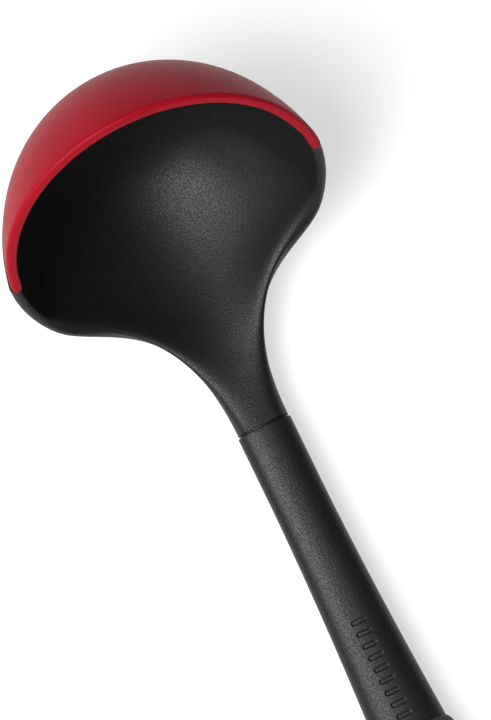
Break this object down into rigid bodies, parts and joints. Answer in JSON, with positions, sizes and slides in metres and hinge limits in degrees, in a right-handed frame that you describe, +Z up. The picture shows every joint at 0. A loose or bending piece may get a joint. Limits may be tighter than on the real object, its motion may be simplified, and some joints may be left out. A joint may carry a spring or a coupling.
{
  "type": "soup ladle",
  "caption": "Soup ladle with a deep round nylon bowl, a silicone edge over the bowl's front half, and a flared handle with a soft grip and a hanging end cap.",
  "frame": {"origin": "on the worktop, below the middle of the ladle's box, as it lies on the bowl's back and the rest foot", "axes": "+X along the handle towards its hanging end, +Y to the side, +Z up off the worktop"},
  "size_m": [0.316, 0.0942, 0.0838],
  "materials": {
    "nylon_head": "black glass-filled nylon with a fine spark-eroded grain",
    "silicone_red": "red food silicone, smooth matte with a soft sheen",
    "nylon_handle": "black nylon with a fine spark-eroded grain",
    "seal_rubber": "black silicone seal",
    "soft_grip": "black soft-touch elastomer, matte",
    "cap_nylon": "black nylon with a fine spark-eroded grain"
  },
  "bodies": {
    "root": {"ladle_head": "nylon_head", "silicone_edge": "silicone_red", "handle_shaft": "nylon_handle", "tang_seal": "seal_rubber", "grip_sleeve": "soft_grip", "end_cap": "cap_nylon"}
  },
  "joints": []
}
